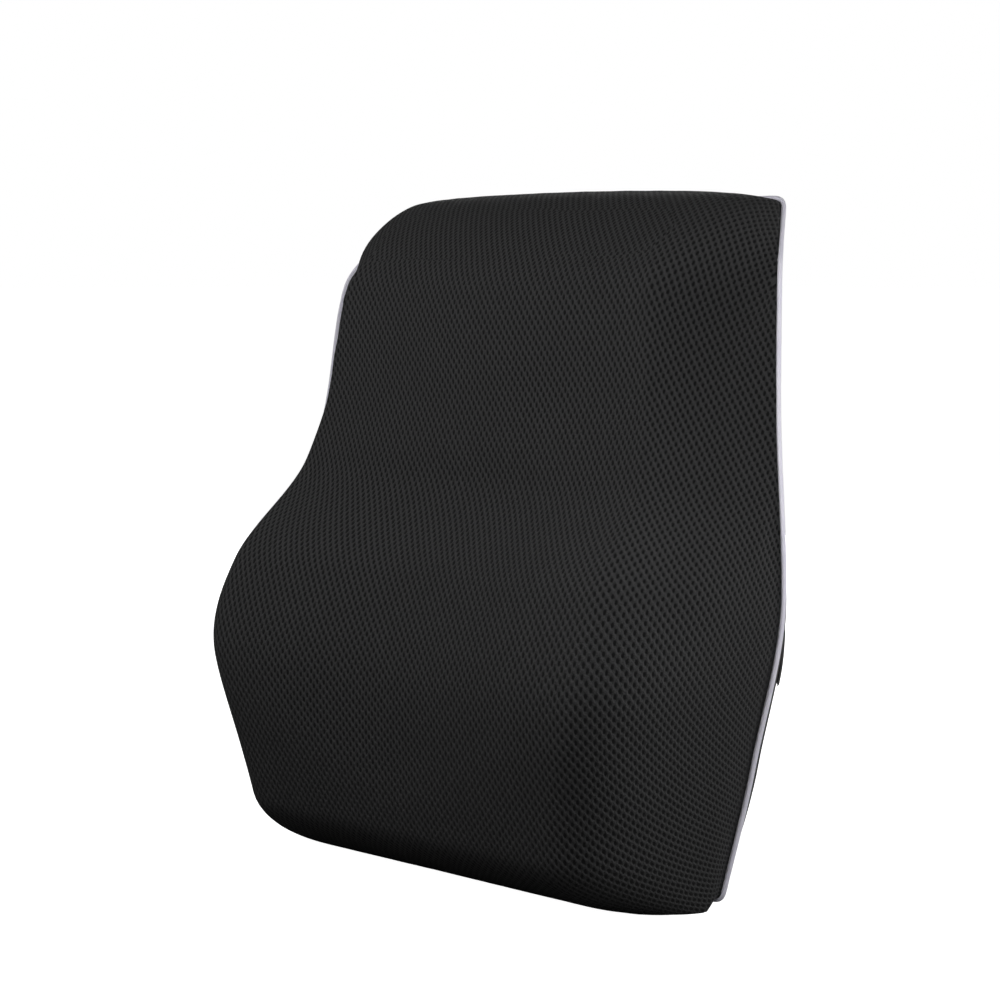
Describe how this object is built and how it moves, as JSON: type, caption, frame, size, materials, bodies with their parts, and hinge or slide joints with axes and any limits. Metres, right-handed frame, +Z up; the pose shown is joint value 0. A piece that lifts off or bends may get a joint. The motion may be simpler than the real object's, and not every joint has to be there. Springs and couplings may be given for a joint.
{
  "type": "lumbar support cushion",
  "caption": "Contoured foam lumbar cushion with a wide lumbar roll and a waisted neck, in a piped, zipped mesh cover with buckled straps behind.",
  "frame": {"origin": "on the floor under the middle of the cushion's overall width and depth", "axes": "+Z up, -Y the front that meets the sitter's back, +X across to the right seen from the front"},
  "size_m": [0.3194, 0.15, 0.3276],
  "materials": {
    "foam": "open-cell memory foam",
    "liner": "thin jersey, off-white",
    "mesh_cover": "black 3-D air mesh",
    "back_cloth": "plain black knit",
    "piping": "smooth pale piping",
    "label": "blank satin label",
    "zip_tape": "woven black tape",
    "zip_coil": "black nylon coil",
    "zip_metal": "black plated zinc",
    "webbing": "ribbed black elastic webbing",
    "buckle_plastic": "black acetal"
  },
  "bodies": {
    "cushion": {"foam_core": "foam", "liner_front": "liner", "liner_back": "liner", "cover_front": "mesh_cover", "cover_back_upper": "back_cloth", "cover_back_lower": "back_cloth", "piping": "piping", "care_label": "label", "zip_tape_lower": "zip_tape", "zip_coil_lower": "zip_coil", "zip_tape_upper": "zip_tape", "zip_coil_upper": "zip_coil", "zip_stop_closed": "zip_metal", "zip_stop_open": "zip_metal", "upper_strap_left": "webbing", "upper_strap_right": "webbing", "upper_buckle_socket": "buckle_plastic", "lower_strap_left": "webbing", "lower_strap_right": "webbing", "lower_buckle_socket": "buckle_plastic"},
    "zip_slider": {"zip_slider": "zip_metal"},
    "zip_pull": {"zip_pull": "zip_metal"},
    "upper_plug": {"upper_buckle_plug": "buckle_plastic"},
    "upper_arm_low": {"upper_release_arm_low": "buckle_plastic"},
    "upper_arm_high": {"upper_release_arm_high": "buckle_plastic"},
    "upper_adjuster": {"upper_adjuster": "buckle_plastic"},
    "lower_plug": {"lower_buckle_plug": "buckle_plastic"},
    "lower_arm_low": {"lower_release_arm_low": "buckle_plastic"},
    "lower_arm_high": {"lower_release_arm_high": "buckle_plastic"},
    "lower_adjuster": {"lower_adjuster": "buckle_plastic"}
  },
  "joints": [
    {"name": "zip_slide", "type": "slide", "parent": "cushion", "child": "zip_slider", "axis": [1, 0, 0], "range_m": [0, 0.1544]},
    {"name": "zip_pull_swing", "type": "hinge", "parent": "zip_slider", "child": "zip_pull", "pos_m": [-0.0772, 0.04285, 0.05164], "axis": [0, 0.1016, 0.9948], "range_deg": [0, 165]},
    {"name": "upper_buckle_release", "type": "slide", "parent": "cushion", "child": "upper_plug", "axis": [1, 0, 0], "range_m": [0, 0.022], "deforming": ["upper_strap_right"]},
    {"name": "upper_arm_press_high", "type": "hinge", "parent": "upper_plug", "child": "upper_arm_high", "pos_m": [-0.001, 0.05062, 0.24674], "axis": [0, -0.9947, 0.1026], "range_deg": [0, 7], "stiffness_Nm_per_rad": 0.05},
    {"name": "upper_arm_press_low", "type": "hinge", "parent": "upper_plug", "child": "upper_arm_low", "pos_m": [-0.001, 0.04841, 0.22526], "axis": [0, 0.9947, -0.1026], "range_deg": [0, 7], "stiffness_Nm_per_rad": 0.05},
    {"name": "upper_adjuster_slide", "type": "slide", "parent": "cushion", "child": "upper_adjuster", "axis": [1, 0, 0], "range_m": [-0.01, 0.012]},
    {"name": "lower_buckle_release", "type": "slide", "parent": "cushion", "child": "lower_plug", "axis": [1, 0, 0], "range_m": [0, 0.022], "deforming": ["lower_strap_right"]},
    {"name": "lower_arm_press_high", "type": "hinge", "parent": "lower_plug", "child": "lower_arm_high", "pos_m": [-0.001, 0.03963, 0.1268], "axis": [0, -1, -0.0088], "range_deg": [0, 7], "stiffness_Nm_per_rad": 0.05},
    {"name": "lower_arm_press_low", "type": "hinge", "parent": "lower_plug", "child": "lower_arm_low", "pos_m": [-0.001, 0.03983, 0.1052], "axis": [0, 1, 0.0088], "range_deg": [0, 7], "stiffness_Nm_per_rad": 0.05},
    {"name": "lower_adjuster_slide", "type": "slide", "parent": "cushion", "child": "lower_adjuster", "axis": [1, 0, 0], "range_m": [-0.01, 0.012]}
  ],
  "couplings": [
    {"joint": "upper_arm_press_low", "follows": "upper_arm_press_high", "ratio": 1},
    {"joint": "lower_arm_press_low", "follows": "lower_arm_press_high", "ratio": 1}
  ]
}
